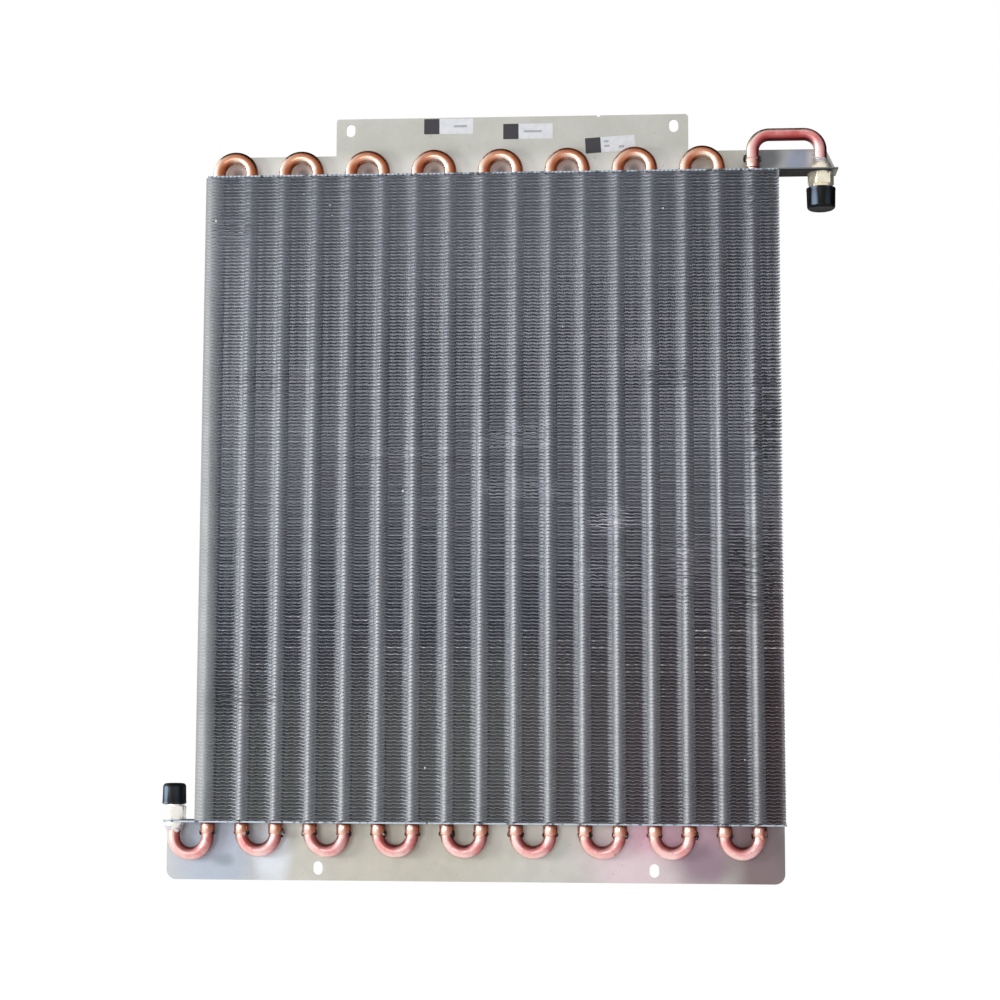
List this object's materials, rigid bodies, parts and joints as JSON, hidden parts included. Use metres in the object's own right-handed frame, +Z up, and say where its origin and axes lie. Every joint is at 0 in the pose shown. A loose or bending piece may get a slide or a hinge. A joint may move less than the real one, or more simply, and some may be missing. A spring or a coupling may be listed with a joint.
{
  "type": "finned condenser coil",
  "caption": "Flat finned condenser coil: hairpin copper tubes through thin fins, slotted end flanges above and below, and two capped flare unions.",
  "frame": {"origin": "midway between the two slots of the lower flange, on its rear face", "axes": "+X along the row of tubes towards the gas union's side, +Y out of the flanges' rear faces, +Z up along the tubes"},
  "size_m": [0.5035, 0.0224, 0.5787],
  "materials": {
    "fins": "oxidised sheet, slightly dusty",
    "plate": "galvanised, satin",
    "copper": "drawn copper, heat tinted near the brazed joints",
    "brass": "machined",
    "cap": "smooth moulded",
    "label": "blank sticker with a dark square"
  },
  "bodies": {
    "root": {"fin_pack": "fins", "lower_end_plate": "plate", "upper_end_plate": "plate", "hairpin_tube_1": "copper", "hairpin_tube_2": "copper", "hairpin_tube_3": "copper", "hairpin_tube_4": "copper", "hairpin_tube_5": "copper", "hairpin_tube_6": "copper", "hairpin_tube_7": "copper", "hairpin_tube_8": "copper", "straight_tube": "copper", "return_bend_1": "copper", "return_bend_2": "copper", "return_bend_3": "copper", "return_bend_4": "copper", "return_bend_5": "copper", "return_bend_6": "copper", "return_bend_7": "copper", "return_bend_8": "copper", "gas_inlet_tube": "copper", "liquid_outlet_bend": "copper", "gas_union": "brass", "liquid_union": "brass", "gas_cap": "cap", "liquid_cap": "cap", "label_left": "label", "label_middle": "label", "label_right": "label"}
  },
  "joints": []
}
